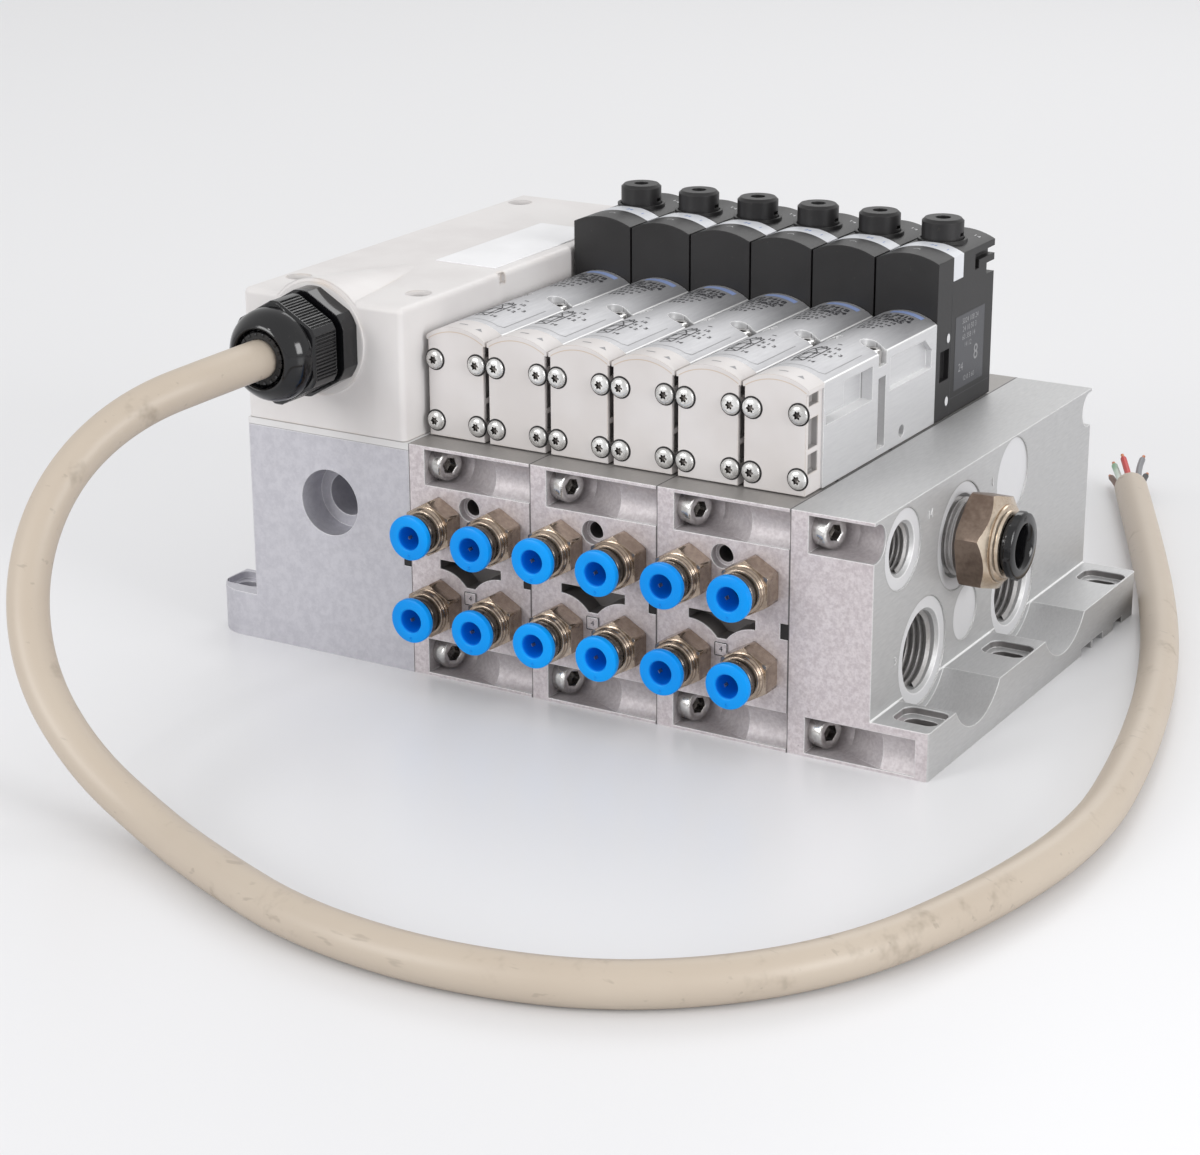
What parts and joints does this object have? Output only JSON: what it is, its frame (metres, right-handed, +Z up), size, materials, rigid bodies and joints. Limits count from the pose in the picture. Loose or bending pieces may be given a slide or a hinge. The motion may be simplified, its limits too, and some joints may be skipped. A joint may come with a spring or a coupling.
{
  "type": "pneumatic valve island",
  "caption": "Pneumatic valve island: manifold blocks with push-in tube fittings between two footed end plates, solenoid valves on top, and a hood with a round cable.",
  "frame": {"origin": "on the base, midway between the four end slots of the feet", "axes": "+X along the row from the hood to the end plate with the supply port, +Y from the tube fittings to the pilot heads, +Z up"},
  "size_m": [0.2758, 0.4138, 0.117],
  "materials": {
    "plate_cast": "die-cast, satin, faintly mottled",
    "block_cast": "bare, satin, mottled patina",
    "valve_metal": "machined, satin",
    "hood_plastic": "warm grey, slightly yellowed",
    "frame_plastic": "light grey",
    "cap_plastic": "warm grey, fine grain",
    "black_plastic": "matte black",
    "gland_plastic": "black, half gloss",
    "nickel_plate": "nickel-plated, satin",
    "screw_steel": "zinc-plated",
    "ring_blue": "bright blue",
    "strip_white": "white",
    "seal_rubber": "black",
    "cable_sheath": "cream, slightly dirty",
    "core_sleeve": "coloured wires",
    "board_laminate": "green laminate"
  },
  "bodies": {
    "base": {"left_end_plate": "plate_cast", "connector_frame": "frame_plastic", "electronics_hood": "hood_plastic", "hood_screws": "screw_steel", "interface_board": "board_laminate", "gland_body": "gland_plastic", "gland_dome_nut": "gland_plastic", "gland_seal": "seal_rubber", "cable": "cable_sheath", "cable_cores": "core_sleeve", "manifold_block_1": "block_cast", "manifold_block_2": "block_cast", "manifold_block_3": "block_cast", "block_seals": "seal_rubber", "tie_screws": "screw_steel", "right_end_plate": "block_cast", "push_in_bodies": "nickel_plate", "supply_fitting": "nickel_plate", "valve_end_caps": "cap_plastic", "cap_screws": "screw_steel", "valve_seals": "seal_rubber", "label_strips": "strip_white", "valve_screws": "screw_steel", "valve_body_1": "valve_metal", "pilot_head_1": "black_plastic", "valve_body_2": "valve_metal", "pilot_head_2": "black_plastic", "valve_body_3": "valve_metal", "pilot_head_3": "black_plastic", "valve_body_4": "valve_metal", "pilot_head_4": "black_plastic", "valve_body_5": "valve_metal", "pilot_head_5": "black_plastic", "valve_body_6": "valve_metal", "pilot_head_6": "black_plastic"},
    "ring_01": {"release_ring_01": "ring_blue"},
    "ring_02": {"release_ring_02": "ring_blue"},
    "ring_03": {"release_ring_03": "ring_blue"},
    "ring_04": {"release_ring_04": "ring_blue"},
    "ring_05": {"release_ring_05": "ring_blue"},
    "ring_06": {"release_ring_06": "ring_blue"},
    "ring_07": {"release_ring_07": "ring_blue"},
    "ring_08": {"release_ring_08": "ring_blue"},
    "ring_09": {"release_ring_09": "ring_blue"},
    "ring_10": {"release_ring_10": "ring_blue"},
    "ring_11": {"release_ring_11": "ring_blue"},
    "ring_12": {"release_ring_12": "ring_blue"},
    "supply_ring": {"supply_release_ring": "black_plastic"},
    "stem_1": {"override_stem_1": "black_plastic"},
    "knob_1": {"override_knob_1": "black_plastic"},
    "stem_2": {"override_stem_2": "black_plastic"},
    "knob_2": {"override_knob_2": "black_plastic"},
    "stem_3": {"override_stem_3": "black_plastic"},
    "knob_3": {"override_knob_3": "black_plastic"},
    "stem_4": {"override_stem_4": "black_plastic"},
    "knob_4": {"override_knob_4": "black_plastic"},
    "stem_5": {"override_stem_5": "black_plastic"},
    "knob_5": {"override_knob_5": "black_plastic"},
    "stem_6": {"override_stem_6": "black_plastic"},
    "knob_6": {"override_knob_6": "black_plastic"}
  },
  "joints": [
    {"name": "ring_press_01", "type": "slide", "parent": "base", "child": "ring_01", "axis": [0, 1, 0], "range_m": [0, 0.001], "stiffness_N_per_m": 500, "springref_m": -0.001},
    {"name": "ring_press_02", "type": "slide", "parent": "base", "child": "ring_02", "axis": [0, 1, 0], "range_m": [0, 0.001], "stiffness_N_per_m": 500, "springref_m": -0.001},
    {"name": "ring_press_03", "type": "slide", "parent": "base", "child": "ring_03", "axis": [0, 1, 0], "range_m": [0, 0.001], "stiffness_N_per_m": 500, "springref_m": -0.001},
    {"name": "ring_press_04", "type": "slide", "parent": "base", "child": "ring_04", "axis": [0, 1, 0], "range_m": [0, 0.001], "stiffness_N_per_m": 500, "springref_m": -0.001},
    {"name": "ring_press_05", "type": "slide", "parent": "base", "child": "ring_05", "axis": [0, 1, 0], "range_m": [0, 0.001], "stiffness_N_per_m": 500, "springref_m": -0.001},
    {"name": "ring_press_06", "type": "slide", "parent": "base", "child": "ring_06", "axis": [0, 1, 0], "range_m": [0, 0.001], "stiffness_N_per_m": 500, "springref_m": -0.001},
    {"name": "ring_press_07", "type": "slide", "parent": "base", "child": "ring_07", "axis": [0, 1, 0], "range_m": [0, 0.001], "stiffness_N_per_m": 500, "springref_m": -0.001},
    {"name": "ring_press_08", "type": "slide", "parent": "base", "child": "ring_08", "axis": [0, 1, 0], "range_m": [0, 0.001], "stiffness_N_per_m": 500, "springref_m": -0.001},
    {"name": "ring_press_09", "type": "slide", "parent": "base", "child": "ring_09", "axis": [0, 1, 0], "range_m": [0, 0.001], "stiffness_N_per_m": 500, "springref_m": -0.001},
    {"name": "ring_press_10", "type": "slide", "parent": "base", "child": "ring_10", "axis": [0, 1, 0], "range_m": [0, 0.001], "stiffness_N_per_m": 500, "springref_m": -0.001},
    {"name": "ring_press_11", "type": "slide", "parent": "base", "child": "ring_11", "axis": [0, 1, 0], "range_m": [0, 0.001], "stiffness_N_per_m": 500, "springref_m": -0.001},
    {"name": "ring_press_12", "type": "slide", "parent": "base", "child": "ring_12", "axis": [0, 1, 0], "range_m": [0, 0.001], "stiffness_N_per_m": 500, "springref_m": -0.001},
    {"name": "supply_ring_press", "type": "slide", "parent": "base", "child": "supply_ring", "axis": [-1, 0, 0], "range_m": [0, 0.001], "stiffness_N_per_m": 500, "springref_m": -0.001},
    {"name": "override_press_1", "type": "slide", "parent": "base", "child": "stem_1", "axis": [0, 0, -1], "range_m": [0, 0.0015], "stiffness_N_per_m": 800, "springref_m": -0.001},
    {"name": "override_turn_1", "type": "hinge", "parent": "stem_1", "child": "knob_1", "pos_m": [-0.0325, 0.0368, 0.114], "axis": [0, 0, 1], "range_deg": [0, 90]},
    {"name": "override_press_2", "type": "slide", "parent": "base", "child": "stem_2", "axis": [0, 0, -1], "range_m": [0, 0.0015], "stiffness_N_per_m": 800, "springref_m": -0.001},
    {"name": "override_turn_2", "type": "hinge", "parent": "stem_2", "child": "knob_2", "pos_m": [-0.0135, 0.0368, 0.114], "axis": [0, 0, 1], "range_deg": [0, 90]},
    {"name": "override_press_3", "type": "slide", "parent": "base", "child": "stem_3", "axis": [0, 0, -1], "range_m": [0, 0.0015], "stiffness_N_per_m": 800, "springref_m": -0.001},
    {"name": "override_turn_3", "type": "hinge", "parent": "stem_3", "child": "knob_3", "pos_m": [0.0055, 0.0368, 0.114], "axis": [0, 0, 1], "range_deg": [0, 90]},
    {"name": "override_press_4", "type": "slide", "parent": "base", "child": "stem_4", "axis": [0, 0, -1], "range_m": [0, 0.0015], "stiffness_N_per_m": 800, "springref_m": -0.001},
    {"name": "override_turn_4", "type": "hinge", "parent": "stem_4", "child": "knob_4", "pos_m": [0.0245, 0.0368, 0.114], "axis": [0, 0, 1], "range_deg": [0, 90]},
    {"name": "override_press_5", "type": "slide", "parent": "base", "child": "stem_5", "axis": [0, 0, -1], "range_m": [0, 0.0015], "stiffness_N_per_m": 800, "springref_m": -0.001},
    {"name": "override_turn_5", "type": "hinge", "parent": "stem_5", "child": "knob_5", "pos_m": [0.0435, 0.0368, 0.114], "axis": [0, 0, 1], "range_deg": [0, 90]},
    {"name": "override_press_6", "type": "slide", "parent": "base", "child": "stem_6", "axis": [0, 0, -1], "range_m": [0, 0.0015], "stiffness_N_per_m": 800, "springref_m": -0.001},
    {"name": "override_turn_6", "type": "hinge", "parent": "stem_6", "child": "knob_6", "pos_m": [0.0625, 0.0368, 0.114], "axis": [0, 0, 1], "range_deg": [0, 90]}
  ]
}
